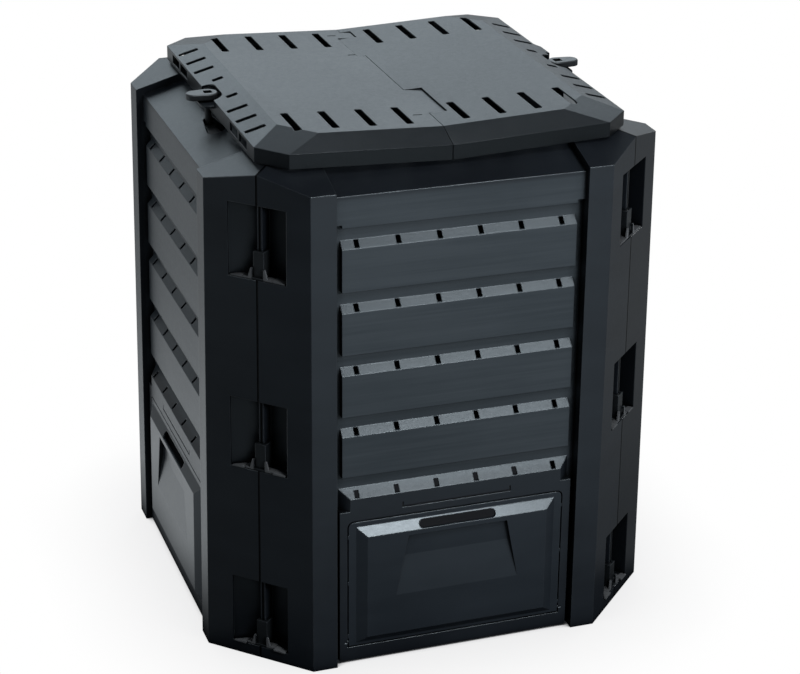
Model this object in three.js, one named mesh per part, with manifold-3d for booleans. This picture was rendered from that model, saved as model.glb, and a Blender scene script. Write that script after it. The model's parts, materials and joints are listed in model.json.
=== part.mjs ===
// Square garden composter with a two-piece vented lid, in millimetres.
// +X runs along the front wall, the front wall faces -Y, +Z is up, and the floor is z = 0.
import * as THREE from "three";
import { ConvexGeometry } from "three/addons/geometries/ConvexGeometry.js";
import { mergeVertices } from "three/addons/utils/BufferGeometryUtils.js";
import Module from "manifold-3d";

const wasm = await Module();
wasm.setup();

// Body: overall form
const base_width = 719;
const wall_height = 763;
const wall_lean = 8;
const corner_chamfer = 130;
const shoulder_slope_share = 0.293;
const rim_half = 240;
const rim_lip_depth = 12;
const skin = 2.6;
const seam_gap = 0.5;
const cut_over = 2;

// Body: posts and the panel set back between them
const post_inner_half = 191.5;
const panel_recess = 12;
const strip_recess = 22;
const rail_drop = 52;
const foot_flange = 22;
const panel_foot = 4;

// Louvres: rows of sloping ledges with vents
const louvre_inset = 11.5;
const louvre_rows = 5;
const louvre_head = 26;
const louvre_foot = 292.2;
const lip_rise = 21;
const ledge_slope_share = 1.1;
const vent_columns = 6;
const vent_pitch = 62.8;
const vent_width = 7;
const vent_margin = 0.8;
const vent_height = 9.4;

// Hatch surround: the raised block at the foot of each wall
const surround_outset = 5;
const surround_recess = 9;
const surround_depth = 16;
const surround_shoulder = 20;
const surround_head_inset = 17;
const hatch_jamb = 12;
const hatch_opening_low = 26.5;
const hatch_head = 36.9;
const hatch_corner = 10;
const tongue_slit_half = 87;
const tongue_slit_lift = 12;
const tongue_slit_width = 2.5;
const tongue_slit_rise = 7;

// Hatch: door hinged along its lower edge
const hatch_gap = 2;
const hatch_rim_depth = 9;
const hatch_face_recess = 0.3;
const hatch_face_inset = 29.5;
const hatch_bevel_width = 16;
const hatch_face_foot = 18.5;
const hatch_face_head = 25;
const hatch_bevel_low_width = 12;
const hatch_bevel_high_width = 15;
const scoop_head = 8;
const scoop_flat = 36;
const scoop_fall = 62;
const scoop_top_half = 79;
const scoop_bottom_half = 98;
const scoop_depth = 8;
const finger_half = 61.5;
const finger_lift = 0.5;
const finger_width = 12;
const hinge_pin_radius = 3.5;
const hinge_pin_reach = 5;
const hinge_clearance = 0.4;
const hinge_recess = 13;
const hinge_height = 35.5;
const nub_reach = 1.3;
const nub_height = 6;
const nub_shares = [3 / 33, 17 / 33, 29 / 33];

// Corner seams: flanges, pockets and locking keys
const flange_thickness = 4;
const flange_depth = 34;
const flange_setback = 9;
const pocket_half = 47.5;
const pocket_depth = 30;
const pocket_height = 113;
const pocket_foot = 19;
const pocket_head_drop = 28;
const pocket_middle_drop = 2.5;
const scoop_step = 3;
const key_clearance = 0.3;
const key_leg = 4.5;
const key_web = 4;
const key_height = 42;
const key_leg_depth = 15;
const key_base_half = 24;
const key_base_thickness = 3;
const key_base_depth = 5;
const key_ear_reach = 8;
const key_ear_height = 17;
const key_ear_width = 3;
const key_ear_thickness = 3;
const key_foot_front = 1.2;

// Lid: two halves over the shoulders
const lid_half_width = 284;
const lid_half_depth = 298;
const lid_chamfer = 40;
const lid_seat = 25.5;
const lid_skirt = 22.1;
const lid_rise = 15.4;
const lid_side_bevel = 48;
const lid_end_bevel = 42;
const lid_top_chamfer = 48;
const lid_fall = 12;
const lid_kerf = 0.8;
const top_slot_inner = 43.5;
const top_slot_pitch = 56.3;
const top_slot_low = 161;
const top_slot_high = 236;
const top_slot_width = 7;
const side_slot_inner = 42;
const side_slot_first = 98.5;
const side_slot_pitch = 48.5;
const side_slot_outer_end = 279;
const side_slot_inner_end = 250;
const side_slot_short_end = 265;
const side_slot_count = 4;
const side_slot_width = 5;
const window_spans = [
  [128, 170],
  [178, 220],
];
const window_rail = 5;
const window_head = 4;
const seam_path = [
  [0, 238],
  [17, 238],
  [17, 205],
  [-14, 205],
  [-14, 104],
  [0, 104],
  [0, -80],
  [28, -80],
  [28, -194],
  [0, -194],
];
const clip_slit_spots = [
  [-20, 222],
  [-20, 112],
  [-20, -200],
];
const clip_slit_length = 14;
const clip_slit_width = 2.2;
const lap_reach = 20;
const lap_length = 50;
const lap_spots = [30, -60, -248];
const lap_root = 12;
const lap_gap = 0.6;
const lap_thickness = 3;
const rib_spots = [75, 160];
const rib_depth = 10;
const rib_half_length = 225;
const guide_gap = 3.5;
const guide_drop = 32;
const guide_spans = [60, 140];

// Latches: a knob on the lid turns a lever that drops through a keyhole in the side shoulders
const notch_radius = 17;
const notch_reach = 19;
const shelf_drop = 9.4;
const shelf_thickness = 3.5;
const stem_radius = 5;
const stem_clearance = 0.3;
const stem_relief_half = 9;
const knob_inner_radius = 15.5;
const knob_tip_radius = 13;
const knob_reach = 21;
const knob_thickness = 9;
const knob_above_edge = 2.5;
const knob_hub_radius = 12;
const knob_lift = 0.3;
const knob_edge = 1.5;
const socket_side = 12;
const socket_drop = 5;
const lever_reach = 51;
const lever_radius = 12;
const lever_height = 9;
const lever_drop = 48.6;
const keyhole_clearance = 2.5;

// Values worked out from the sizes above
const half = base_width / 2;
const lean = wall_lean / wall_height;
const facet_lean = lean / Math.SQRT2;
const face_half = half - corner_chamfer;
const seam_half = (half + face_half) / 2;
const sheet_back = strip_recess + skin;
const shoulder_stretch_share = Math.hypot(1, shoulder_slope_share);
const hinge_bore = hinge_pin_radius + hinge_clearance;
const rail_bottom = wall_height - rail_drop;
const louvre_top = rail_bottom - louvre_head;
const louvre_pitch = (louvre_top - louvre_foot) / (louvre_rows - 1);
const pocket_head = wall_height - pocket_head_drop - pocket_height;
const pocket_middle = (pocket_foot + pocket_head) / 2 - pocket_middle_drop;
const pocket_levels = [pocket_foot, pocket_middle, pocket_head];
const lid_bottom = wall_height + lid_seat;
const lid_edge = lid_bottom + lid_skirt;
const lid_top = lid_edge + lid_rise;
const shelf_top = lid_edge - shelf_drop;
const lever_top = lid_edge - lever_drop;
const ledge_drop = ledge_slope_share * (strip_recess - panel_recess);
const last_ledge_drop = ledge_slope_share * (strip_recess - surround_recess);
const surround_top = louvre_foot - last_ledge_drop;
const louvre_half = post_inner_half - louvre_inset;
const surround_half = louvre_half + surround_outset;
const surround_head_half = surround_half - surround_head_inset;
const hatch_opening_half = surround_half - hatch_jamb;
const hatch_opening_high = surround_top - hatch_head;
const hatch_opening_height = hatch_opening_high - hatch_opening_low;
const tongue_slit_low = hatch_opening_high + tongue_slit_lift;
const hatch_face_half = hatch_opening_half - hatch_face_inset;
const hatch_face_low = hatch_opening_low + hatch_face_foot;
const hatch_face_high = hatch_opening_high - hatch_face_head;
const scoop_top = hatch_face_high - scoop_head;
const scoop_crease = scoop_top - scoop_flat;
const scoop_bottom = scoop_crease - scoop_fall;
const finger_low = hatch_face_high + finger_lift;
const finger_high = finger_low + finger_width;
const nub_levels = nub_shares.map((share) => hatch_opening_low + share * hatch_opening_height);
const far = 2 * base_width;

// Turns a three.js geometry into a closed solid that can be joined and cut.
function solid(geometry) {
  const bare = geometry.index ? geometry.toNonIndexed() : geometry.clone();
  const kept = new THREE.BufferGeometry();
  kept.setAttribute("position", bare.getAttribute("position"));
  const merged = mergeVertices(kept, 1e-5 * base_width);
  const mesh = new wasm.Mesh({
    numProp: 3,
    vertProperties: merged.attributes.position.array,
    triVerts: new Uint32Array(merged.index.array),
  });
  return new wasm.Manifold(mesh);
}

function placed(body, matrix) {
  return body.transform(matrix.elements);
}

function join(bodies) {
  return wasm.Manifold.union(bodies);
}

function box(x0, x1, y0, y1, z0, z1) {
  const geometry = new THREE.BoxGeometry(x1 - x0, y1 - y0, z1 - z0);
  geometry.translate((x0 + x1) / 2, (y0 + y1) / 2, (z0 + z1) / 2);
  return solid(geometry);
}

function outline(points) {
  return new THREE.Shape(points.map(([a, b]) => new THREE.Vector2(a, b)));
}

// A plan outline raised from z0 to z1.
function prism(shape, z0, z1) {
  const options = { depth: z1 - z0, bevelEnabled: false, curveSegments: 8 };
  const geometry = new THREE.ExtrudeGeometry(shape, options);
  geometry.translate(0, 0, z0);
  return solid(geometry);
}

// A (y, z) outline drawn out along X.
function bar(points, x0, x1) {
  const turn = new THREE.Matrix4().makeBasis(
    new THREE.Vector3(0, 1, 0),
    new THREE.Vector3(0, 0, 1),
    new THREE.Vector3(1, 0, 0),
  );
  return placed(prism(outline(points), x0, x1), turn);
}

// A plan slot with round ends, lying along X or along Y.
function capsule(cx, cy, reach_x, reach_y, radius, segments) {
  const shape = new THREE.Shape();
  const turn = reach_x ? 0 : Math.PI / 2;
  const quarter = Math.PI / 2;
  const points = [];
  for (const end of [1, -1]) {
    for (let i = 0; i <= segments; i += 1) {
      const angle = turn + (end > 0 ? 0 : Math.PI) - quarter + (Math.PI * i) / segments;
      const x = cx + end * reach_x + radius * Math.cos(angle);
      const y = cy + end * reach_y + radius * Math.sin(angle);
      points.push(new THREE.Vector2(x, y));
    }
  }
  shape.setFromPoints(points);
  return shape;
}

// A body whose plan is stretched round two circles, given as [x, y, radius], through levels of [height, inset].
function egg(circles, levels) {
  const points = [];
  const steps = 16;
  for (let i = 0; i < steps; i += 1) {
    const angle = (2 * Math.PI * i) / steps;
    for (const [x, y, radius] of circles) {
      for (const [z, inset] of levels) {
        const r = radius - inset;
        points.push(new THREE.Vector3(x + r * Math.cos(angle), y + r * Math.sin(angle), z));
      }
    }
  }
  return solid(new ConvexGeometry(points));
}

// Leans a wall piece inward with height; its plan sizes stay as drawn.
const lean_matrix = new THREE.Matrix4().set(1, 0, 0, 0, 0, 1, lean, 0, 0, 0, 1, 0, 0, 0, 0, 1);

// Upright sheet of the front wall between two depths behind the face of the posts.
function sheet(x0, x1, d0, d1, z0, z1) {
  return box(x0, x1, d0 - half, d1 - half, z0, z1);
}

function both_sides(x0, x1, d0, d1, z0, z1) {
  return join([sheet(x0, x1, d0, d1, z0, z1), sheet(-x1, -x0, d0, d1, z0, z1)]);
}

// Front half of the body as one upright block under the front shoulder, every face moved inward by inset.
function envelope(inset) {
  const side = half - inset;
  const face = face_half - inset * (Math.SQRT2 - 1);
  const top = (y) => wall_height - inset * shoulder_stretch_share + shoulder_slope_share * (y + half);
  const points = [];
  for (const sx of [-1, 1]) {
    for (const [x, y] of [
      [side, 0],
      [side, -face],
      [face, -side],
    ]) {
      points.push(new THREE.Vector3(sx * x, y, 0));
      points.push(new THREE.Vector3(sx * x, y, top(y)));
    }
  }
  return solid(new ConvexGeometry(points));
}

function hollow(outer_inset, inner_inset) {
  const inner = envelope(inner_inset);
  const below = inner.translate([0, 0, -cut_over]);
  const behind = box(-far, far, -inner_inset, far, 0, far);
  return envelope(outer_inset).subtract(join([inner, below, behind]));
}

const mouth = box(-rim_half, rim_half, -rim_half, rim_half, 0, far);
const quarter_edge = seam_gap / Math.SQRT2;
const quarter_plan = prism(
  outline([
    [0, -quarter_edge],
    [-far, -far - quarter_edge],
    [far, -far - quarter_edge],
  ]),
  0,
  far,
);
// Height of the recessed shoulder at the mouth, less the depth of the rolled lip.
const rim_rise = shoulder_slope_share * (half - wall_lean - rim_half);
const rim_low = wall_height + rim_rise - panel_recess * shoulder_stretch_share - rim_lip_depth;
const under_skin = placed(envelope(skin / 2), lean_matrix);
const under_recess = placed(envelope(panel_recess + skin / 2), lean_matrix);
const between_posts = box(-post_inner_half, post_inner_half, -far, cut_over, -cut_over, far);

// Outward side of a louvre row, as (depth, height) pairs from the lip above to the ledge's edge.
function row_steps(row, shift, thickness) {
  const z = louvre_top - row * louvre_pitch;
  const last = row === louvre_rows - 1;
  const edge = last ? surround_recess : panel_recess;
  const drop = last ? last_ledge_drop : ledge_drop;
  const slant = thickness * (Math.SQRT2 - 1);
  return [
    [panel_recess + shift, z + lip_rise + thickness],
    [strip_recess + shift, z + lip_rise + thickness],
    [strip_recess + shift, z - slant],
    [edge + shift, z - drop - slant],
  ];
}

function louvre_sheet() {
  const head = rail_bottom + skin;
  const front = [[panel_recess, head]];
  const back = [[panel_recess + skin, head]];
  for (let row = 0; row < louvre_rows; row += 1) {
    front.push(...row_steps(row, 0, 0));
    back.push(...row_steps(row, skin, skin));
  }
  const foot = surround_top - surround_depth;
  front.push([surround_recess, foot]);
  back.push([surround_recess + skin, foot]);
  const at_depth = ([d, z]) => [d - half, z];
  const thin = [...front, ...back.reverse()].map(at_depth);
  const full = [...front, [sheet_back, foot], [sheet_back, head]].map(at_depth);
  const faces = bar(thin, -louvre_half, louvre_half);
  const right_end = bar(full, louvre_half - skin, louvre_half);
  const left_end = bar(full, -louvre_half, skin - louvre_half);
  return join([faces, right_end, left_end]);
}

function vents() {
  const cuts = [];
  for (let row = 0; row < louvre_rows; row += 1) {
    const z = louvre_top - row * louvre_pitch;
    for (let column = 0; column < vent_columns; column += 1) {
      const x = (column - (vent_columns - 1) / 2) * vent_pitch;
      const low = z - (row === louvre_rows - 1 ? last_ledge_drop : ledge_drop) + vent_margin;
      const high = low + vent_height;
      const reach = sheet_back + cut_over;
      cuts.push(sheet(x - vent_width / 2, x + vent_width / 2, 0, reach, low, high));
    }
  }
  return join(cuts);
}

// An (x, z) outline set upright between two depths behind the face of the posts.
function upright(shape, d0, d1) {
  const stand = new THREE.Matrix4().makeRotationX(Math.PI / 2).setPosition(0, d1 - half, 0);
  return placed(prism(shape, 0, d1 - d0), stand);
}

// Outline of the hatch or its opening, with the upper corners rounded.
function arched(side, low, high, radius) {
  const shape = new THREE.Shape();
  shape.moveTo(-side, low);
  shape.lineTo(side, low);
  const steps = 4;
  for (const end of [1, -1]) {
    for (let i = 0; i <= steps; i += 1) {
      const angle = ((end > 0 ? i : steps + i) / steps) * (Math.PI / 2);
      shape.lineTo(end * (side - radius) + radius * Math.cos(angle), high - radius + radius * Math.sin(angle));
    }
  }
  shape.closePath();
  return shape;
}

// Foot of the wall: the surround, the frame round the hatch opening and the ground edge.
function surround() {
  const face_back = surround_recess + skin;
  const high = hatch_opening_high;
  const low = hatch_opening_low;
  const side = hatch_opening_half;
  const step = surround_top - surround_shoulder;
  const head = surround_head_half - skin / 2;
  const block = [
    sheet(-surround_half, surround_half, surround_recess, face_back, panel_foot, step),
    sheet(-head, head, surround_recess, face_back, step - skin, surround_top),
    both_sides(surround_half - skin, surround_half, surround_recess, sheet_back, panel_foot, step),
    both_sides(surround_head_half - 2 * skin, surround_half, surround_recess, sheet_back, step - skin, step),
    sheet(-surround_half, surround_half, surround_recess, sheet_back, panel_foot, panel_foot + skin),
    upright(arched(side + skin, low - skin, high + skin, hatch_corner + skin), surround_recess, sheet_back),
  ];
  for (const end of [1, -1]) {
    block.push(head_corner(end, step - skin / 2, 0).subtract(head_corner(end, step, skin)));
  }
  const slit_high = tongue_slit_low + tongue_slit_width;
  const slit_end = tongue_slit_half - tongue_slit_width;
  const bore_reach = side + skin + cut_over;
  const cuts = [
    upright(arched(side, low, high, hatch_corner), 0, sheet_back + cut_over),
    sheet(-tongue_slit_half, tongue_slit_half, 0, face_back + cut_over, tongue_slit_low, slit_high),
    both_sides(slit_end, tongue_slit_half, 0, face_back + cut_over, tongue_slit_low, slit_high + tongue_slit_rise),
    hinge_rod(-bore_reach, bore_reach, hinge_bore),
  ];
  return join(block).subtract(join(cuts));
}

// Corner of the surround's head, where the lowest ledge turns down; inset gives its inner face.
function head_corner(side, low, inset) {
  const inner = surround_head_half - 2 * skin - (inset ? cut_over : 0);
  const outer = surround_half - skin / 2 - inset;
  const back = inset ? sheet_back + cut_over : sheet_back;
  const top = surround_top + last_ledge_drop - inset;
  const points = [];
  for (const [x, d, z] of [
    [inner, surround_recess + inset, top - last_ledge_drop],
    [surround_head_half, surround_recess + inset, top - last_ledge_drop],
    [inner, strip_recess + inset, top],
    [outer, strip_recess + inset, top],
    [inner, back, top],
    [outer, back, top],
  ]) {
    points.push(new THREE.Vector3(side * x, d - half, z));
    points.push(new THREE.Vector3(side * x, d - half, low));
  }
  return solid(new ConvexGeometry(points));
}

// Takes the square corners off the lowest ledge, as far as the middle of the head's corner walls.
function head_trim() {
  const shift = skin / 2;
  const inner = surround_head_half - shift;
  const outer = surround_half - shift;
  const deep = strip_recess + shift - half;
  const middle = surround_recess + shift - half;
  const low = surround_top - surround_shoulder;
  const high = surround_top + last_ledge_drop;
  const cuts = [1, -1].map((side) => {
    const plan = outline([
      [side * inner, -half],
      [side * inner, middle],
      [side * surround_head_half, middle],
      [side * outer, deep],
      [side * half, deep],
      [side * half, -half],
    ]);
    return prism(plan, low, high);
  });
  return join(cuts);
}

// A round rod along the hatch's hinge line.
function hinge_rod(x0, x1, radius) {
  const rod = new THREE.CylinderGeometry(radius, radius, x1 - x0, 14);
  rod.rotateZ(Math.PI / 2);
  rod.translate((x0 + x1) / 2, hinge_recess - half, hinge_height);
  return solid(rod);
}

// Carries a piece drawn as (distance from the seam, depth behind the facet, height) to its corner.
function on_wing(body, side) {
  const tilt = new THREE.Matrix4().set(1, 0, 0, 0, 0, 1, facet_lean, 0, 0, 0, 1, 0, 0, 0, 0, 1);
  const u = new THREE.Vector3(-side, -1, 0).normalize();
  const v = new THREE.Vector3(-side, 1, 0).normalize();
  const frame = new THREE.Matrix4().makeBasis(u, v, new THREE.Vector3(0, 0, 1));
  frame.setPosition(side * seam_half, -seam_half, 0);
  return placed(body, frame.multiply(tilt));
}

// Plan outline of a pocket: square-backed, or with a floor that slopes up away from the seam.
function pocket_plan(sloping, grow) {
  const inner = grow ? -cut_over : flange_thickness;
  const outer = pocket_half + grow;
  const front = grow ? skin / 2 : -cut_over;
  const shallow = (sloping ? scoop_step : pocket_depth) + grow;
  return outline([
    [inner, front],
    [outer, front],
    [outer, shallow],
    [flange_thickness, pocket_depth + grow],
    [inner, pocket_depth + grow],
  ]);
}

function wing_parts(side) {
  const sloping = side > 0;
  const flange = box(-cut_over, flange_thickness, skin / 2, flange_depth, 0, far);
  const solids = [on_wing(flange, side).intersect(under_skin)];
  const cuts = [];
  for (const z of pocket_levels) {
    const top = z + pocket_height;
    const shut = z + pocket_height + skin;
    solids.push(on_wing(prism(pocket_plan(sloping, skin), z - skin, shut), side));
    cuts.push(on_wing(prism(pocket_plan(sloping, 0), z, top), side));
    cuts.push(on_wing(box(-2 * cut_over, flange_thickness + cut_over, -cut_over, flange_setback, z, top), side));
  }
  return { solids, cuts };
}

function upright_wall() {
  const upper = box(-far, far, -far, far, rail_bottom, far);
  const inside_width = box(-post_inner_half - skin, post_inner_half + skin, -far, cut_over, 0, far);
  const post_returns = inside_width.subtract(between_posts);
  const low_band = box(-far, far, -far, far, 0, skin);
  return join([
    hollow(0, skin).subtract(between_posts),
    hollow(0, sheet_back).intersect(post_returns),
    hollow(panel_recess, panel_recess + skin).intersect(upper).intersect(inside_width),
    hollow(0, foot_flange).intersect(low_band).subtract(between_posts),
    sheet(-post_inner_half - skin, post_inner_half + skin, panel_recess, sheet_back, rail_bottom, rail_bottom + skin),
    both_sides(louvre_half - skin, post_inner_half + skin, strip_recess, sheet_back, 0, rail_bottom + skin),
    louvre_sheet().subtract(head_trim()),
    surround(),
  ]).subtract(vents());
}

// The rolled lip round the mouth, hanging from the middle of the shoulder's thickness.
function rim_lip() {
  const band = box(-far, far, -rim_half - skin, -rim_half + cut_over, rim_low, far);
  const raised = band.intersect(under_skin).subtract(placed(between_posts, lean_matrix));
  const inside_width = box(-post_inner_half - skin, post_inner_half + skin, -far, cut_over, 0, far);
  return join([raised, band.intersect(under_recess).intersect(inside_width)]);
}

function wall(latch_slot) {
  const right = wing_parts(1);
  const left = wing_parts(-1);
  const bodies = [leaning_wall, rim_lip(), ...right.solids, ...left.solids];
  const cuts = [mouth, ...right.cuts, ...left.cuts];
  if (latch_slot) {
    const narrow = [0, -lid_half_width, stem_radius + keyhole_clearance];
    const wide = [lever_reach, -lid_half_width, lever_radius + keyhole_clearance];
    cuts.push(egg([narrow, wide], [[rail_bottom, 0], [far, 0]]));
  }
  return join(bodies).intersect(quarter_plan).subtract(join(cuts));
}

// Hatch: a shallow tray with a bevelled raised panel, a hand scoop and a finger slot.
function raised_block(inset) {
  const foot = surround_recess + inset;
  const face = hatch_face_recess + inset;
  const points = [];
  const low = hatch_face_low + inset;
  const high = hatch_face_high - inset;
  const side = hatch_face_half - inset;
  const back = foot + skin;
  for (const sx of [-1, 1]) {
    points.push(new THREE.Vector3(sx * side, face - half, low));
    points.push(new THREE.Vector3(sx * side, face - half, high));
    for (const d of [foot, back]) {
      points.push(new THREE.Vector3(sx * (side + hatch_bevel_width), d - half, low - hatch_bevel_low_width));
      points.push(new THREE.Vector3(sx * (side + hatch_bevel_width), d - half, high + hatch_bevel_high_width));
    }
  }
  return solid(new ConvexGeometry(points));
}

// Trapezoid hollow in the raised panel: flat in its upper part, then sloping out to the face.
function scoop(grow) {
  const face = hatch_face_recess;
  const front = grow ? face + skin : face - cut_over;
  const flat = face + scoop_depth + grow;
  const fall_share = (scoop_crease - scoop_bottom) / (scoop_top - scoop_bottom);
  const crease_half = scoop_top_half * fall_share + scoop_bottom_half * (1 - fall_share);
  const points = [];
  for (const sx of [-1, 1]) {
    for (const [x, d, z] of [
      [scoop_top_half + grow, front, scoop_top + grow],
      [scoop_top_half + grow, flat, scoop_top + grow],
      [crease_half + grow, flat, scoop_crease - grow / 2],
      [scoop_bottom_half + grow, face + grow, scoop_bottom - grow],
      [scoop_bottom_half + grow, front, scoop_bottom - grow],
    ]) {
      points.push(new THREE.Vector3(sx * x, d - half, z));
    }
  }
  return solid(new ConvexGeometry(points));
}

function hatch() {
  const side = hatch_opening_half - hatch_gap;
  const low = hatch_opening_low + hatch_gap;
  const high = hatch_opening_high - hatch_gap;
  const plate_back = surround_recess + skin;
  const rim_back = plate_back + hatch_rim_depth;
  const front = surround_recess - half;
  const corner = hatch_corner - hatch_gap;
  const tray = upright(arched(side, low, high, corner), surround_recess, rim_back).subtract(
    upright(arched(side - skin, low + skin, high - skin, corner - skin), plate_back, rim_back + cut_over),
  );
  const cavity = raised_block(skin).subtract(scoop(skin));
  const finger_radius = (finger_high - finger_low) / 2;
  const finger_plan = capsule(0, finger_low + finger_radius, finger_half - finger_radius, 0, finger_radius, 5);
  const opening = upright(finger_plan, -cut_over, plate_back + cut_over);
  const nubs = nub_levels.map((z) =>
    box(-side - nub_reach, side + nub_reach, front, front + skin, z - nub_height / 2, z + nub_height / 2),
  );
  const solids = join([tray, raised_block(0), ...nubs]);
  const cut = join([cavity, scoop(0), opening]);
  const reach = side + hinge_pin_reach;
  const right_pin = hinge_rod(side - skin, reach, hinge_pin_radius);
  const left_pin = hinge_rod(-reach, skin - side, hinge_pin_radius);
  return placed(join([solids.subtract(cut), right_pin, left_pin]), lean_matrix);
}

// Key: a clip that slides over both seam flanges and stands on the pocket's floor.
function key(level) {
  const slot = flange_thickness + key_clearance;
  const outer = slot + key_leg;
  const web_front = flange_setback - key_clearance - key_web;
  const web_back = flange_setback - key_clearance;
  const low = level + key_clearance;
  const back = web_back + key_leg_depth;
  const solids = [box(-outer, outer, web_front, back, low, low + key_height)];
  const base_back = web_back + key_base_depth;
  solids.push(box(-key_base_half, key_base_half, key_foot_front, base_back, low, low + key_base_thickness));
  for (const side of [-1, 1]) {
    const ear = outline([
      [side * outer, low],
      [side * (outer + key_ear_reach), low],
      [side * (outer + key_ear_width), low + key_ear_height],
      [side * outer, low + key_ear_height],
    ]);
    solids.push(upright(ear, key_foot_front + half, key_foot_front + half + key_ear_thickness));
  }
  const channel = box(-slot, slot, web_back, back + cut_over, level - cut_over, low + key_height + cut_over);
  return on_wing(join(solids).subtract(channel), 1);
}

// Lid: outer or inner block, every face moved inward by inset.
function lid_block(inset, floor) {
  const points = [];
  const rings = [
    [lid_half_width - inset, lid_half_depth - inset, lid_chamfer, floor],
    [lid_half_width - inset, lid_half_depth - inset, lid_chamfer, lid_edge - inset],
  ];
  const top_width = lid_half_width - inset - lid_side_bevel;
  const top_depth = lid_half_depth - inset - lid_end_bevel;
  rings.push([top_width, top_depth, lid_top_chamfer, lid_top - inset]);
  for (const [w, d, c, z] of rings) {
    for (const sx of [-1, 1]) {
      for (const sy of [-1, 1]) {
        points.push(new THREE.Vector3(sx * w, sy * (d - c), z));
        points.push(new THREE.Vector3(sx * (w - c), sy * d, z));
      }
    }
  }
  return solid(new ConvexGeometry(points));
}

// All vents, windows and slits of the lid, cut straight down.
function lid_cuts() {
  const cuts = [];
  const low = lid_bottom - cut_over;
  const high = lid_top + cut_over;
  const side_levels = [side_slot_inner];
  for (let i = 1; i < side_slot_count; i += 1) side_levels.push(side_slot_first + (i - 1) * side_slot_pitch);
  for (const sx of [-1, 1]) {
    for (const sy of [-1, 1]) {
      for (let i = 0; i < side_slot_count; i += 1) {
        const x = sx * (top_slot_inner + i * top_slot_pitch);
        const y = (sy * (top_slot_low + top_slot_high)) / 2;
        const reach = (top_slot_high - top_slot_low - top_slot_width) / 2;
        cuts.push(prism(capsule(x, y, 0, reach, top_slot_width / 2, 4), lid_edge, high));
        const outer_end = i ? side_slot_outer_end : side_slot_short_end;
        const middle = (sx * (outer_end + side_slot_inner_end)) / 2;
        const run = (outer_end - side_slot_inner_end - side_slot_width) / 2;
        cuts.push(prism(capsule(middle, sy * side_levels[i], run, 0, side_slot_width / 2, 4), lid_bottom, high));
      }
      for (const [a, b] of window_spans) {
        const x = sx * lid_half_width;
        const top = lid_edge - window_head;
        cuts.push(box(x - 2 * skin, x + 2 * skin, Math.min(sy * a, sy * b), Math.max(sy * a, sy * b), lid_bottom + window_rail, top));
      }
    }
  }
  for (const [x, y] of clip_slit_spots) {
    const w = clip_slit_width / 2;
    cuts.push(box(x - clip_slit_length / 2, x + clip_slit_length / 2, y - w, y + w, low, high));
  }
  return join(cuts);
}

// The stepped line where the two halves meet.
function lid_seam() {
  const path = [[0, lid_half_depth + cut_over], ...seam_path, [0, -lid_half_depth - cut_over]];
  const w = lid_kerf / 2;
  const cuts = [];
  for (let i = 1; i < path.length; i += 1) {
    const [x0, y0] = path[i - 1];
    const [x1, y1] = path[i];
    const x_low = Math.min(x0, x1) - w;
    const x_high = Math.max(x0, x1) + w;
    cuts.push(box(x_low, x_high, Math.min(y0, y1) - w, Math.max(y0, y1) + w, 0, far));
  }
  return join(cuts);
}

// Tilts a lid half so that its surface falls to the seam.
function fall(body, side) {
  const tilt = (side * lid_fall) / lid_half_width;
  const matrix = new THREE.Matrix4().set(1, 0, 0, 0, 0, 1, 0, 0, tilt, 0, 1, -lid_fall, 0, 0, 0, 1);
  return placed(body, matrix);
}

function lid_underside(side) {
  const ceiling = lid_top - skin;
  const parts = [];
  for (const x of rib_spots) {
    const a = Math.min(side * x, side * (x + skin));
    parts.push(box(a, a + skin, -rib_half_length, rib_half_length, ceiling - rib_depth, ceiling + skin / 2));
  }
  const guide_outer = rim_half - guide_gap;
  const a = Math.min(side * guide_outer, side * (guide_outer - skin));
  for (const sy of [-1, 1]) {
    const [g0, g1] = guide_spans.map((v) => sy * v).sort((p, q) => p - q);
    parts.push(box(a, a + skin, g0, g1, lid_edge - guide_drop, lid_top - skin / 2));
  }
  if (side < 0) {
    for (const y of lap_spots) {
      const top = ceiling - lap_gap;
      parts.push(box(-lap_root, lap_reach, y, y + lap_length, top - lap_thickness, top));
      parts.push(box(-lap_root, -lap_root + skin, y, y + lap_length, top - lap_thickness, ceiling + skin / 2));
    }
  }
  return join(parts);
}

function round(radius, x, z0, z1) {
  const geometry = new THREE.CylinderGeometry(radius, radius, z1 - z0, 20);
  geometry.rotateX(Math.PI / 2);
  geometry.translate(x, 0, (z0 + z1) / 2);
  return solid(geometry);
}

function lid_halves() {
  const lid_open = lid_block(skin, lid_bottom - cut_over);
  const shell = lid_block(0, lid_bottom).subtract(lid_open).subtract(lid_cuts());
  const pieces = shell.subtract(lid_seam()).decompose();
  pieces.sort((p, q) => p.boundingBox().min[0] - q.boundingBox().min[0]);
  const outer = lid_block(0, lid_bottom);
  return [-1, 1].map((side, i) => {
    const ribbed = join([pieces[i], lid_underside(side).intersect(outer)]);
    const x = side * lid_half_width;
    const shelf_bottom = shelf_top - shelf_thickness;
    const relief = box(x - notch_radius, x + notch_radius, -stem_relief_half, stem_relief_half, 0, shelf_bottom);
    const notch = capsule(x, 0, 0, notch_reach, notch_radius, 8);
    const shelf = prism(notch, shelf_bottom, shelf_top);
    const bore = round(stem_radius + stem_clearance, x, 0, far);
    const notched = fall(ribbed, side).subtract(prism(notch, shelf_bottom, far)).subtract(relief);
    return join([notched, shelf]).subtract(bore);
  });
}

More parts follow.
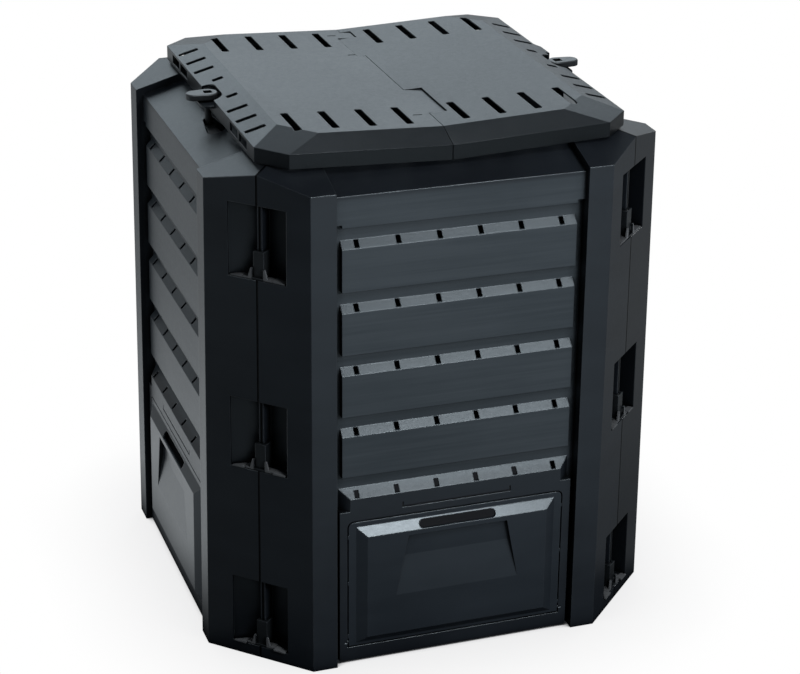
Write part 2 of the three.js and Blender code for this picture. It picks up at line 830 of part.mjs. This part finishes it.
// Latch knob: an egg-shaped plate with a square socket, its lobe pointing away from the lid.
function knob(side) {
  const x = side * lid_half_width;
  const tip = x + side * knob_reach;
  const high = lid_edge + knob_above_edge;
  const low = high - knob_thickness;
  const levels = [
    [low, 0],
    [high - knob_edge, 0],
    [high, knob_edge],
  ];
  const plate = egg([[x, 0, knob_inner_radius], [tip, 0, knob_tip_radius]], levels);
  const s = socket_side / 2 + stem_clearance;
  const hub = round(knob_hub_radius, x, shelf_top + knob_lift, low + knob_edge);
  return join([plate, hub]).subtract(box(x - s, x + s, -s, s, 0, far));
}

// Latch stem: square head, round shank and the lever that drops through the keyhole.
function stem(side) {
  const x = side * lid_half_width;
  const head_top = lid_edge + knob_above_edge - socket_drop;
  const s = socket_side / 2;
  const head = box(x - s, x + s, -s, s, shelf_top + knob_lift, head_top);
  const tip = [x, side * lever_reach, lever_radius];
  const lever = egg([[x, 0, stem_radius], tip], [[lever_top - lever_height, 0], [lever_top, 0]]);
  const shank = round(stem_radius, x, lever_top - skin, head_top - skin);
  return join([head, shank, lever]);
}

const part = new THREE.Group();
part.name = "compost_bin";

function add(name, body, colour, roughness, turn) {
  const source = body.getMesh();
  const geometry = new THREE.BufferGeometry();
  const count = source.numProp;
  const positions = new Float32Array(source.numVert * 3);
  for (let i = 0; i < source.numVert; i += 1) {
    positions.set(source.vertProperties.subarray(i * count, i * count + 3), i * 3);
  }
  geometry.setAttribute("position", new THREE.BufferAttribute(positions, 3));
  geometry.setIndex(new THREE.BufferAttribute(source.triVerts, 1));
  const material = new THREE.MeshStandardMaterial({ color: colour, roughness, metalness: 0 });
  const mesh = new THREE.Mesh(geometry, material);
  mesh.name = name;
  mesh.rotation.z = turn;
  part.add(mesh);
}

const wall_colour = 0x1d2023;
const lid_colour = 0x24272b;
const key_colour = 0x17191b;
const quarter_turn = Math.PI / 2;
const sides = [
  ["front", 0, "front_right"],
  ["right", quarter_turn, "back_right"],
  ["back", 2 * quarter_turn, "back_left"],
  ["left", -quarter_turn, "front_left"],
];
const key_levels = ["lower", "middle", "upper"];

const leaning_wall = placed(upright_wall(), lean_matrix);
const plain_wall = wall(false);
const slotted_wall = wall(true);
const door = hatch();
for (const [name, turn, corner] of sides) {
  const is_side = name === "left" || name === "right";
  add("wall_" + name, is_side ? slotted_wall : plain_wall, wall_colour, 0.5, turn);
  add("hatch_" + name, door, wall_colour, 0.45, turn);
  key_levels.forEach((level, i) => add("key_" + corner + "_" + level, key(pocket_levels[i]), key_colour, 0.5, turn));
}
const [left_half, right_half] = lid_halves();
add("lid_half_left", left_half, lid_colour, 0.4, 0);
add("lid_half_right", right_half, lid_colour, 0.4, 0);
for (const [name, side] of [
  ["left", -1],
  ["right", 1],
]) {
  add("latch_knob_" + name, knob(side), lid_colour, 0.4, 0);
  add("latch_stem_" + name, stem(side), key_colour, 0.5, 0);
}

export default part;
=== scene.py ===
import json
import math

import bmesh
import bpy
from mathutils import Matrix, Vector

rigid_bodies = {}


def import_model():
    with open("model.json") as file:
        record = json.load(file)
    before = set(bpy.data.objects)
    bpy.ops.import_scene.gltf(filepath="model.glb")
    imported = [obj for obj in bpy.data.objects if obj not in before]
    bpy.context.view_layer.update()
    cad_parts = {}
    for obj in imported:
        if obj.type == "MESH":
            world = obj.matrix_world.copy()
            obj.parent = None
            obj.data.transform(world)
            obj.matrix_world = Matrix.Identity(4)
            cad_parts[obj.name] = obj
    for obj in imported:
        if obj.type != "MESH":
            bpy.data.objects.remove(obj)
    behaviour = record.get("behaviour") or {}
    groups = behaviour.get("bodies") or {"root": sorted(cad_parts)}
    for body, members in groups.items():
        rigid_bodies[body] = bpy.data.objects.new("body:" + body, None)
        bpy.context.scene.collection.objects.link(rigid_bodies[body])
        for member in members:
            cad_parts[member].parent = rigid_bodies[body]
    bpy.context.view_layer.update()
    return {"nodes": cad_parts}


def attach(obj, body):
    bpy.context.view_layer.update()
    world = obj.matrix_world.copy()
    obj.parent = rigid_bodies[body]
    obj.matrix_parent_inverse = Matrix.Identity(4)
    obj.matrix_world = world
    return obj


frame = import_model()
scene = bpy.context.scene


# All lengths are in metres

# Camera: solved from the photograph's corners
PHOTO_WIDTH = 800
PHOTO_HEIGHT = 674
CAMERA_PLACE = (-1.0895, -3.1986, 1.8722)
CAMERA_YAW = 0.340
CAMERA_PITCH = 0.410
CAMERA_ROLL = -0.015
FOCAL_PIXELS = 2286.8
CENTRE_PIXEL = (408.8, 319.6)
SENSOR = 36.0
CLIP_START = 0.05
CLIP_END = 100

# Lamps: place, target, width and height, watts, colour, and what the names of the pieces that it lights start with
# (none: it lights all). Each side has its own, so that no lamp that models the ledges glares on the lid
WHITE = (1, 1, 1)
BLUISH = (0.80, 0.92, 1.0)
LAMPS = {
    "front_card": (
        (0.60, -2.5, 1.46), (0, -0.35, 0.25), (0.5, 0.45), 58, WHITE,
        ("wall_front", "hatch_front", "key_front", "key_wings_front"),
    ),
    "front_softbox": ((0.95, -1.95, 2.6), (0, -0.35, 0.4), (0.9, 0.8), 50, WHITE, ("wall", "hatch", "key")),
    "right_softbox": (
        (2.7, 0.7, 2.3), (0.35, 0, 0.35), (1.6, 1.2), 90, WHITE,
        ("wall_right", "hatch_right", "key_back_right", "key_wings_back_right"),
    ),
    "rear_softbox": (
        (-0.7, 2.7, 2.3), (0, 0.35, 0.35), (1.6, 1.2), 90, WHITE,
        ("wall_back", "hatch_back", "key_back_left", "key_wings_back_left"),
    ),
    "left_softbox": ((-2.9, -0.3, 1.9), (-0.35, 0, 0.35), (1.6, 1.2), 36, WHITE, ("wall_left", "hatch_left")),
    "overhead": ((0, -0.4, 3.6), (0, 0, 0.8), (1.6, 1.6), 75, WHITE, ("lid", "latch", "drip")),
    "back_panel": ((0.35, 3.2, 2.15), (0, 0, 0.8), (4.4, 1.8), 35, BLUISH, None),
    "back_left_panel": ((-0.6, 3.1, 2.35), (0, 0, 0.8), (1.2, 1.0), 2, BLUISH, None),
}

# World: colour and strength of what the camera sees, of plain light, and of gloss, whose strength
# falls from the first level to the second between two heights of the ray
BACKDROP = ((1, 1, 1, 1), 1.0)
PLAIN_SKY = ((0.93, 0.97, 1.0, 1), 0.20)
GLOSS_SKY = (0.97, 0.99, 1.0, 1)
GLOSS_SKY_LEVELS = (0.30, 0.03)
GLOSS_SKY_HEIGHTS = (0.25, 0.70)

# Floor: reach and colour of the close shadow; reach, share of open sky and colour of the wide one
FLOOR_HALF = 14.0
FLOOR_SAMPLES = 16
CLOSE_REACH = 0.22
CLOSE_SHADOW = (0.70, 0.70, 0.71)
WIDE_REACH = 1.5
WIDE_RANGE = (0.20, 0.42)
WIDE_SHADOW = (0.012, 0.013, 0.015)
FLOOR_PLAIN = (0.20, 0.20, 0.21, 1)
FLOOR_GLOSS = (0.92, 0.97, 1.0, 1)

# How bright gloss sees the floor: ramps along an axis, from the first level to the second between two places
GLOSS_RAMPS = {
    "ahead": ("Y", 0.72, 0.0, -1.5, -0.45),
    "ahead_left_end": ("X", 0.0, 1.0, -0.9, -0.1),
    "ahead_right_end": ("X", 1.0, 0.1, 0.8, 1.3),
    "behind": ("Y", 0.0, 0.38, -0.2, 0.1),
    "behind_left": ("X", 1.0, 0.0, -0.4, 0.2),
    "close_behind": ("Y", 0.55, 0.0, 0.3, 1.3),
    "aside": ("X", 0.14, 0.28, 0.6, 1.2),
}
CLOSE_BEHIND_GAIN = 2.6
UNDER_BIN_LEVEL = 0.05
UNDER_BIN_RANGE = (0.36, 0.42)

# Plastics: darkest and lightest tone, least and greatest roughness, depth of the grain, share of dust,
# tones of the louvred panel, and tone of the painted highlight on the ends of a key
PLASTICS = {
    "wall": (
        (0.003, 0.004, 0.006), (0.006, 0.008, 0.011), (0.34, 0.42), 0.25, 0.006,
        ((0.012, 0.016, 0.020), (0.019, 0.024, 0.029)), None,
    ),
    "hatch": ((0.005, 0.007, 0.010), (0.009, 0.012, 0.016), (0.30, 0.36), 0.16, 0.010, None, None),
    "lid": ((0.004, 0.006, 0.008), (0.008, 0.010, 0.013), (0.28, 0.40), 0.30, 0.014, None, None),
    "key": ((0.003, 0.004, 0.005), (0.006, 0.007, 0.008), (0.32, 0.42), 0.2, 0.01, None, (0.058, 0.062, 0.067)),
    "latch": ((0.030, 0.033, 0.036), (0.045, 0.049, 0.053), (0.32, 0.40), 0.25, 0.04, None, None),
}
# Colours of rubbed edges, partly a painted highlight; of dust; and of the painted shade in crevices
RUBBED_AND_HIGHLIT = (0.022, 0.026, 0.031)
DUST = (0.20, 0.215, 0.23)
CREVICE_SHADE = (0.0008, 0.0009, 0.0010)

# Noises of the plastics: features per metre and octaves; what the place is stretched by; what the values run between
BROAD = (3.2, 4.0)
FLOW = (2.4, 5.0)
FLOW_STRETCH = (2.0, 2.0, 9.0)
STREAKS = (3.0, 4.0)
STREAK_STRETCH = (1.5, 1.5, 60.0)
FINE = (900.0, 2.0)
PIT_SCALE = 620.0
WEAR = (22.0, 4.0)
SPECKS = (46.0, 6.0, 0.7)
CLOUDY = (150.0, 3.0)
MOTTLED_RANGE = (0.38, 0.62)
STREAKED_RANGE = (0.40, 0.60)
WEAR_LEAST = 0.25
WEAR_RANGE = (0.35, 0.65)
SPECK_RANGE = (0.46, 0.72)
SPECK_BASE = 0.35
ROUGH_RANGE = (0.35, 0.65)

# Rubbed edges partly painted as highlights, painted shade in crevices, dust by slope, gloss and grain
EDGE_RADIUS = 0.0018
EDGE_SAMPLES = 6
EDGE_RANGE = (0.90, 0.995)
WORN_POLISH = 0.08
CREVICE_REACH = 0.022
CREVICE_SAMPLES = 4
CREVICE_RANGE = (0.30, 0.80)
CREVICE_DULLING = 0.85
DUST_SLOPES = (0.15, 0.95)
SHINE = 0.4
REFRACTION = 1.49
GRAIN_DEPTH = 0.0004

# Sizes of the walls that the panel mask follows, and how softly it ends
POST_FACE = 0.3595
POST_INNER = 0.1915
WALL_LEAN = 8 / 763
LOUVRE_FOOT = 0.288
SHOULDER_FOOT = 0.745
RECESS_START = 0.007
RECESS_END = 0.009
POST_FADE = 0.001
LOUVRE_FADE = 0.004
SHOULDER_FADE = 0.006

# Half widths of the painted shade along the joint between two walls and of a key's plain middle, and how softly both
# end
SEAM_HALF = 0.0014
KEY_BLOCK_HALF = 0.0095
SEAM_FADE = 0.0005

# Slots of the lid: rows at the front and back, then those on the sides
ROW_SLOT_FIRST = 0.0435
ROW_SLOT_PITCH = 0.0563
ROW_SLOT_ENDS = (0.160, 0.238)
ROW_SLOT_HALF_WIDTH = 0.0058
SIDE_SLOT_LEVELS = (0.042, 0.0985, 0.147, 0.1955)
SIDE_SLOT_INNER_END = 0.249
SIDE_SLOT_OUTER_ENDS = (0.266, 0.280, 0.280, 0.280)
SIDE_SLOT_HALF_WIDTH = 0.0055
SLOT_CORNER_SHARE = 0.35
LID_CUT_LEVELS = (0.790, 0.840)

# Drip lips inside the back skirt of the lid's right half: inner face and outer face in plan, each from
# the first end to the second; lower and upper levels at both ends
LIPS = {
    "inner": (
        ((0.0006, 0.2905), (0.186, 0.2905)), ((0.0006, 0.2953), (0.186, 0.2953)),
        (0.7702, 0.7702), (0.7795, 0.7865),
    ),
    "outer": (
        ((0.193, 0.2905), (0.244, 0.2905)), ((0.193, 0.2953), (0.244, 0.2953)),
        (0.7826, 0.7826), (0.7875, 0.7895),
    ),
    "corner": (
        ((0.2430, 0.2905), (0.2615, 0.2720)), ((0.2430, 0.2953), (0.2660, 0.2723)),
        (0.7826, 0.7880), (0.7895, 0.7900),
    ),
}

# Corner pockets, in the frame of the front left corner: along the chamfer, and inward from the centre of the base
POCKET_LEVELS = {"lower": 0.0193, "middle": 0.3183, "upper": 0.6223}
CORNERS = ("front_left", "front_right", "back_right", "back_left")
CHAMFER_FOOT = -0.4212
CHAMFER_LEAN = 0.01483
WING_FRONT = 0.0012
WING_INNER = 0.0242
WING_OUTER = 0.0445
# How far back each wing reaches at its inner and outer end, and how high it is there
WING_BACKS = {1: (0.0158, 0.0042), -1: (0.0150, 0.0100)}
WING_HIGH = (0.0034, 0.0018)

# Colour sockets of the Mix node, which share their names with others
MIX_FIRST = 6
MIX_SECOND = 7
MIX_RESULT = 2


def make_camera():
    data = bpy.data.cameras.new("photo_camera")
    camera = bpy.data.objects.new("photo_camera", data)
    scene.collection.objects.link(camera)
    data.sensor_width = SENSOR
    data.lens = FOCAL_PIXELS / PHOTO_WIDTH * SENSOR
    data.shift_x = (PHOTO_WIDTH / 2 - CENTRE_PIXEL[0]) / PHOTO_WIDTH
    data.shift_y = (CENTRE_PIXEL[1] - PHOTO_HEIGHT / 2) / PHOTO_WIDTH
    data.clip_start = CLIP_START
    data.clip_end = CLIP_END
    level = Vector((math.cos(CAMERA_YAW), -math.sin(CAMERA_YAW), 0))
    forward = Vector((math.sin(CAMERA_YAW), math.cos(CAMERA_YAW), 0))
    ahead = math.cos(CAMERA_PITCH) * forward - math.sin(CAMERA_PITCH) * Vector((0, 0, 1))
    down = ahead.cross(level)
    right = math.cos(CAMERA_ROLL) * level + math.sin(CAMERA_ROLL) * down
    below = -math.sin(CAMERA_ROLL) * level + math.cos(CAMERA_ROLL) * down
    turn = Matrix((right, -below, -ahead)).transposed()
    camera.matrix_world = Matrix.Translation(CAMERA_PLACE) @ turn.to_4x4()
    scene.camera = camera


# Lets a lamp shine only on the pieces whose names start so
def light_only(light, starts):
    lit = bpy.data.collections.new(light.name + "_receivers")
    for piece in scene.objects:
        if piece.type == "MESH" and piece.name.startswith(starts):
            lit.objects.link(piece)
    light.light_linking.receiver_collection = lit


def make_lamps():
    for name, (place, target, size, power, colour, starts) in LAMPS.items():
        data = bpy.data.lights.new(name, "AREA")
        data.shape = "RECTANGLE"
        data.size, data.size_y = size
        data.energy = power
        data.color = colour
        light = bpy.data.objects.new(name, data)
        scene.collection.objects.link(light)
        light.location = place
        light.rotation_mode = "QUATERNION"
        light.rotation_quaternion = (Vector(target) - Vector(place)).to_track_quat("-Z", "Y")
        light.visible_camera = False
        if starts:
            light_only(light, starts)


# Small builder for node trees
class Tree:
    def __init__(self, owner):
        owner.use_nodes = True
        self.nodes = owner.node_tree.nodes
        self.links = owner.node_tree.links
        self.nodes.clear()

    def add(self, kind, inputs=(), **settings):
        node = self.nodes.new(kind)
        for key, value in settings.items():
            setattr(node, key, value)
        for key, value in dict(inputs).items():
            if isinstance(value, bpy.types.NodeSocket):
                self.links.new(value, node.inputs[key])
            else:
                node.inputs[key].default_value = value
        return node

    def math(self, operation, a, b=0.0):
        return self.add("ShaderNodeMath", {0: a, 1: b}, operation=operation).outputs[0]

    def times(self, a, b):
        return self.math("MULTIPLY", a, b)

    # Sum of values, each times its weight
    def weigh(self, *terms):
        parts = [self.times(value, weight) for value, weight in terms]
        total = parts[0]
        for part in parts[1:]:
            total = self.math("ADD", total, part)
        return total

    # X, Y and Z of a vector
    def axes(self, vector):
        return self.add("ShaderNodeSeparateXYZ", {0: vector}).outputs

    def noise(self, vector, scale, detail, rough=0.55):
        inputs = {"Vector": vector, "Scale": scale, "Detail": detail, "Roughness": rough}
        return self.add("ShaderNodeTexNoise", inputs).outputs["Fac"]

    def stretch(self, vector, scale):
        return self.add("ShaderNodeMapping", {"Vector": vector, "Scale": scale}).outputs[0]

    def openness(self, reach, samples):
        return self.add("ShaderNodeAmbientOcclusion", {"Distance": reach}, samples=samples).outputs["AO"]

    # Runs from low to high while the value runs from start to end
    def spread(self, value, low, high, start, end):
        inputs = {"Value": value, "From Min": start, "From Max": end, "To Min": low, "To Max": high}
        return self.add("ShaderNodeMapRange", inputs).outputs["Result"]

    # Mixes two colours, each a socket or a constant
    def mix(self, factor, first, second):
        first, second = (c if isinstance(c, bpy.types.NodeSocket) else (*c, 1) for c in (first, second))
        inputs = {"Factor": factor, MIX_FIRST: first, MIX_SECOND: second}
        return self.add("ShaderNodeMix", inputs, data_type="RGBA").outputs[MIX_RESULT]

    def mix_shaders(self, factor, first, second):
        return self.add("ShaderNodeMixShader", {0: factor, 1: first.outputs[0], 2: second.outputs[0]})

    def finish(self, kind, shader):
        self.links.new(shader.outputs[0], self.add(kind).inputs["Surface"])


# Distances from the middle planes across X and Y
def from_middle(tree, axes):
    return tree.math("ABSOLUTE", axes["X"]), tree.math("ABSOLUTE", axes["Y"])


# Mask of the louvred panel between the posts, which is coloured paler than the posts
def recessed(tree, place):
    axes = tree.axes(place)
    across, along = from_middle(tree, axes)
    outward = tree.math("ADD", tree.math("MAXIMUM", across, along), tree.times(axes["Z"], WALL_LEAN))
    sideways = tree.math("MINIMUM", across, along)
    deep = tree.spread(outward, 1.0, 0.0, POST_FACE - RECESS_END, POST_FACE - RECESS_START)
    between = tree.spread(sideways, 1.0, 0.0, POST_INNER - POST_FADE, POST_INNER + POST_FADE)
    above = tree.spread(axes["Z"], 0.0, 1.0, LOUVRE_FOOT - LOUVRE_FADE, LOUVRE_FOOT)
    below = tree.spread(axes["Z"], 1.0, 0.0, SHOULDER_FOOT, SHOULDER_FOOT + SHOULDER_FADE)
    return tree.times(tree.times(deep, between), tree.times(above, below))


# Distance from the upright planes through the corners, along the chamfers
def from_seam(tree, place):
    across, along = from_middle(tree, tree.axes(place))
    apart = tree.math("ABSOLUTE", tree.math("SUBTRACT", across, along))
    return tree.times(apart, math.sqrt(0.5))


# Black moulded polypropylene: spark-eroded grain, flow marks, rubbed edges partly painted as highlights, painted
# pale highlights on the ends of keys, painted shade in crevices and a film of dust on top
def plastic(name, dark, light, roughness, grain, dust, panel, highlight_ends):
    material = bpy.data.materials.new(name)
    tree = Tree(material)
    surface = tree.add("ShaderNodeNewGeometry")
    place = tree.add("ShaderNodeTexCoord").outputs["Object"]
    broad = tree.noise(place, *BROAD)
    flow = tree.noise(tree.stretch(place, FLOW_STRETCH), *FLOW)
    fine = tree.noise(place, *FINE)
    pits = tree.add("ShaderNodeTexVoronoi", {"Vector": place, "Scale": PIT_SCALE}).outputs["Distance"]
    mottled = tree.weigh((broad, 0.6), (flow, 0.4))
    colour = tree.mix(tree.spread(mottled, 0.0, 1.0, *MOTTLED_RANGE), dark, light)
    if panel:
        streaks = tree.noise(tree.stretch(place, STREAK_STRETCH), *STREAKS)
        uneven = tree.weigh((streaks, 0.5), (broad, 0.5))
        panel_colour = tree.mix(tree.spread(uneven, 0.0, 1.0, *STREAKED_RANGE), *panel)
        colour = tree.mix(recessed(tree, place), colour, panel_colour)
    # The ends of a key, beside its plain middle, get a painted highlight
    if highlight_ends:
        ends = tree.spread(from_seam(tree, place), 0.0, 1.0, KEY_BLOCK_HALF, KEY_BLOCK_HALF + SEAM_FADE)
        colour = tree.mix(ends, colour, highlight_ends)

    # Edges are rubbed pale in places: partly wear, and partly a painted highlight along the rounded edges
    rounded = tree.add("ShaderNodeBevel", {"Radius": EDGE_RADIUS}, samples=EDGE_SAMPLES).outputs[0]
    normals = {0: rounded, 1: surface.outputs["True Normal"]}
    facing = tree.add("ShaderNodeVectorMath", normals, operation="DOT_PRODUCT").outputs["Value"]
    edge = tree.spread(facing, 1.0, 0.0, *EDGE_RANGE)
    wear_and_highlight = tree.times(edge, tree.spread(tree.noise(place, *WEAR), WEAR_LEAST, 1.0, *WEAR_RANGE))

    # Crevices, and the joint between two walls, get painted shade: a near-black colour and a weaker specular level
    crevice_shade = tree.spread(tree.openness(CREVICE_REACH, CREVICE_SAMPLES), 1.0, 0.0, *CREVICE_RANGE)
    if panel:
        joint_shade = tree.spread(from_seam(tree, place), 1.0, 0.0, SEAM_HALF, SEAM_HALF + SEAM_FADE)
        crevice_shade = tree.math("MAXIMUM", crevice_shade, joint_shade)
    wear_and_highlight = tree.times(wear_and_highlight, tree.math("SUBTRACT", 1.0, crevice_shade))
    # Rubbed edges lighten the colour, partly as wear and partly as a painted highlight
    rubbed_and_highlit = tree.mix(wear_and_highlight, colour, RUBBED_AND_HIGHLIT)

    # Dust lies on what faces up
    up = tree.axes(surface.outputs["Normal"])["Z"]
    speck = tree.spread(tree.noise(place, *SPECKS), 0.0, 1.0, *SPECK_RANGE)
    film = tree.times(tree.spread(up, 0.0, dust, *DUST_SLOPES), tree.math("ADD", speck, SPECK_BASE))
    # Painted shade: crevices and the wall joint turn near-black over the dust and the rubbed edges
    dust_shade_and_highlight = tree.mix(crevice_shade, tree.mix(film, rubbed_and_highlit, DUST), CREVICE_SHADE)

    grey = tree.weigh((broad, 0.3), (tree.noise(place, *CLOUDY), 0.3), (fine, 0.4))
    rough = tree.spread(grey, *roughness, *ROUGH_RANGE)
    smoothed = tree.math("SUBTRACT", rough, tree.times(wear_and_highlight, WORN_POLISH))
    relief = tree.weigh((fine, 0.6), (pits, 0.4))
    bumps = {"Height": relief, "Normal": rounded, "Strength": grain, "Distance": GRAIN_DEPTH}
    bump = tree.add("ShaderNodeBump", bumps).outputs[0]
    # Painted shade: the specular level drops in crevices and along the wall joint
    shine = tree.math("SUBTRACT", SHINE, tree.times(crevice_shade, SHINE * CREVICE_DULLING))
    shader = tree.add("ShaderNodeBsdfPrincipled", {
        "Base Color": dust_shade_and_highlight, "Roughness": smoothed, "Normal": bump, "Specular IOR Level": shine,
        "Specular Tint": (*BLUISH, 1), "IOR": REFRACTION,
    })
    tree.finish("ShaderNodeOutputMaterial", shader)
    return material


# How bright gloss sees the floor: white in front and behind on the left, grey near the bin and at the sides
def floor_gloss(tree):
    axes = tree.axes(tree.add("ShaderNodeTexCoord").outputs["Object"])
    ramp = {name: tree.spread(axes[axis], *levels) for name, (axis, *levels) in GLOSS_RAMPS.items()}
    ahead = tree.times(ramp["ahead"], tree.times(ramp["ahead_left_end"], ramp["ahead_right_end"]))
    behind = tree.times(ramp["behind"], ramp["behind_left"])
    close = tree.times(ramp["close_behind"], tree.times(behind, CLOSE_BEHIND_GAIN))
    lit = tree.math("ADD", ahead, tree.math("ADD", behind, close))
    reach = tree.math("MAXIMUM", *from_middle(tree, axes))
    under_bin = tree.spread(reach, UNDER_BIN_LEVEL, 1.0, *UNDER_BIN_RANGE)
    return tree.times(tree.math("ADD", lit, ramp["aside"]), under_bin)


# Gloss and transmission both see the studio's own levels
def shiny_ray(tree, path):
    return tree.math("MAXIMUM", path["Is Glossy Ray"], path["Is Transmission Ray"])


# Pale floor: white to the camera, with the bin's soft shadow and the shade under the closed bin painted on it
def make_floor():
    half = FLOOR_HALF
    mesh = bpy.data.meshes.new("studio_floor")
    mesh.from_pydata([(-half, -half, 0), (half, -half, 0), (half, half, 0), (-half, half, 0)], [], [(0, 1, 2, 3)])
    floor = bpy.data.objects.new("studio_floor", mesh)
    scene.collection.objects.link(floor)
    material = bpy.data.materials.new("studio_floor")
    tree = Tree(material)
    path = tree.add("ShaderNodeLightPath").outputs
    shadow = tree.mix(tree.openness(CLOSE_REACH, FLOOR_SAMPLES), CLOSE_SHADOW, WHITE)
    open_sky = tree.spread(tree.openness(WIDE_REACH, FLOOR_SAMPLES), 0.0, 1.0, *WIDE_RANGE)
    lit = tree.mix(tree.math("SUBTRACT", 1.0, open_sky), shadow, WIDE_SHADOW)
    seen = tree.add("ShaderNodeEmission", {"Color": lit, "Strength": 1.0})
    plain = tree.add("ShaderNodeBsdfDiffuse", {"Color": FLOOR_PLAIN})
    gloss = tree.add("ShaderNodeEmission", {"Color": FLOOR_GLOSS, "Strength": floor_gloss(tree)})
    other = tree.mix_shaders(shiny_ray(tree, path), plain, gloss)
    tree.finish("ShaderNodeOutputMaterial", tree.mix_shaders(path["Is Camera Ray"], other, seen))
    mesh.materials.append(material)


# White backdrop: the camera sees white, gloss sees a white wall below a grey ceiling
def make_world():
    world = bpy.data.worlds.new("studio")
    scene.world = world
    tree = Tree(world)
    path = tree.add("ShaderNodeLightPath").outputs
    height = tree.axes(tree.add("ShaderNodeTexCoord").outputs["Generated"])["Z"]
    gloss_level = tree.spread(height, *GLOSS_SKY_LEVELS, *GLOSS_SKY_HEIGHTS)
    plain, gloss, white = (
        tree.add("ShaderNodeBackground", {"Color": colour, "Strength": level})
        for colour, level in (PLAIN_SKY, (GLOSS_SKY, gloss_level), BACKDROP)
    )
    around = tree.mix_shaders(shiny_ray(tree, path), plain, gloss)
    tree.finish("ShaderNodeOutputWorld", tree.mix_shaders(path["Is Camera Ray"], around, white))


# Adds a closed solid to a mesh builder, from its lower and its upper outline
def add_solid(mesh, lower, upper):
    bottom = [mesh.verts.new(v) for v in lower]
    top = [mesh.verts.new(v) for v in upper]
    mesh.faces.new(bottom[::-1])
    mesh.faces.new(top)
    for i, corner in enumerate(bottom):
        j = (i + 1) % len(bottom)
        mesh.faces.new((corner, bottom[j], top[j], top[i]))


# Makes an object of a mesh builder
def link_mesh(name, mesh):
    data = bpy.data.meshes.new(name)
    mesh.to_mesh(data)
    mesh.free()
    piece = bpy.data.objects.new(name, data)
    scene.collection.objects.link(piece)
    return piece


# Cutter for one slot, as wide as given along its short side, with a little off its corners
def add_slot(mesh, xs, ys, half_width):
    (x0, x1), (y0, y1) = sorted(xs), sorted(ys)
    cut = half_width * SLOT_CORNER_SHARE
    outline = [
        (x0 + cut, y0), (x1 - cut, y0), (x1, y0 + cut), (x1, y1 - cut),
        (x1 - cut, y1), (x0 + cut, y1), (x0, y1 - cut), (x0, y0 + cut),
    ]
    add_solid(mesh, *([(*point, level) for point in outline] for level in LID_CUT_LEVELS))


# The photographed slots are bolder than the solids', so each lid half is cut again a little wider
def widen_slots():
    for side, half in ((-1, "lid_half_left"), (1, "lid_half_right")):
        mesh = bmesh.new()
        for end in (-1, 1):
            for i, (level, outer_end) in enumerate(zip(SIDE_SLOT_LEVELS, SIDE_SLOT_OUTER_ENDS)):
                x = side * (ROW_SLOT_FIRST + i * ROW_SLOT_PITCH)
                ys = [end * v for v in ROW_SLOT_ENDS]
                add_slot(mesh, (x - ROW_SLOT_HALF_WIDTH, x + ROW_SLOT_HALF_WIDTH), ys, ROW_SLOT_HALF_WIDTH)
                xs = (side * SIDE_SLOT_INNER_END, side * outer_end)
                y = end * level
                add_slot(mesh, xs, (y - SIDE_SLOT_HALF_WIDTH, y + SIDE_SLOT_HALF_WIDTH), SIDE_SLOT_HALF_WIDTH)
        cutter = link_mesh("slot_cutter_" + half, mesh)
        cutter.hide_render = True
        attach(cutter, "lid")
        cut = frame["nodes"][half].modifiers.new("wider_slots", "BOOLEAN")
        cut.operation = "DIFFERENCE"
        cut.solver = "EXACT"
        cut.object = cutter


# Makes a piece of the object that rides on a body
def add_piece(name, mesh, material, body):
    bmesh.ops.recalc_face_normals(mesh, faces=mesh.faces)
    piece = link_mesh(name, mesh)
    piece.data.materials.append(material)
    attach(piece, body)


# Drip lips behind the back skirt, which close the view through the slots to the ground behind
def make_drip_lips(material):
    for name, (inner, outer, low, high) in LIPS.items():
        for side, label in ((-1, "left"), (1, "right")):
            plan = [(*inner[0], 0), (*inner[1], 1), (*outer[1], 1), (*outer[0], 0)]
            mesh = bmesh.new()
            add_solid(mesh, *([(side * x, y, levels[end]) for x, y, end in plan] for levels in (low, high)))
            add_piece("drip_lip_%s_%s" % (name, label), mesh, material, "lid")


# Wings that carry on the foot of each key across the floor of its pocket
def make_key_wings(material):
    for turn, corner in enumerate(CORNERS):
        spin = Matrix.Rotation(turn * math.pi / 2, 4, "Z")
        for level, floor in POCKET_LEVELS.items():
            mesh = bmesh.new()
            front = CHAMFER_FOOT + CHAMFER_LEAN * floor + WING_FRONT
            for side, backs in WING_BACKS.items():
                plan = [(WING_INNER, 0, 0), (WING_OUTER, 0, 1), (WING_OUTER, backs[1], 1), (WING_INNER, backs[0], 0)]
                lower, upper = [], []
                for along, back, end in plan:
                    across = side * along / math.sqrt(2)
                    inward = (front + max(back - WING_FRONT, 0)) / math.sqrt(2)
                    place = (inward - across, inward + across)
                    lower.append(spin @ Vector((*place, floor)))
                    upper.append(spin @ Vector((*place, floor + WING_HIGH[end])))
                add_solid(mesh, lower, upper)
            add_piece("key_wings_%s_%s" % (corner, level), mesh, material, "bin")


make_camera()
make_world()
make_floor()
finishes = {kind: plastic(kind + "_polypropylene", *settings) for kind, settings in PLASTICS.items()}
for name, node in frame["nodes"].items():
    node.data.materials.clear()
    node.data.materials.append(finishes[name.split("_")[0]])

widen_slots()
make_drip_lips(finishes["lid"])
make_key_wings(finishes["key"])
make_lamps()

scene.view_settings.view_transform = "Standard"
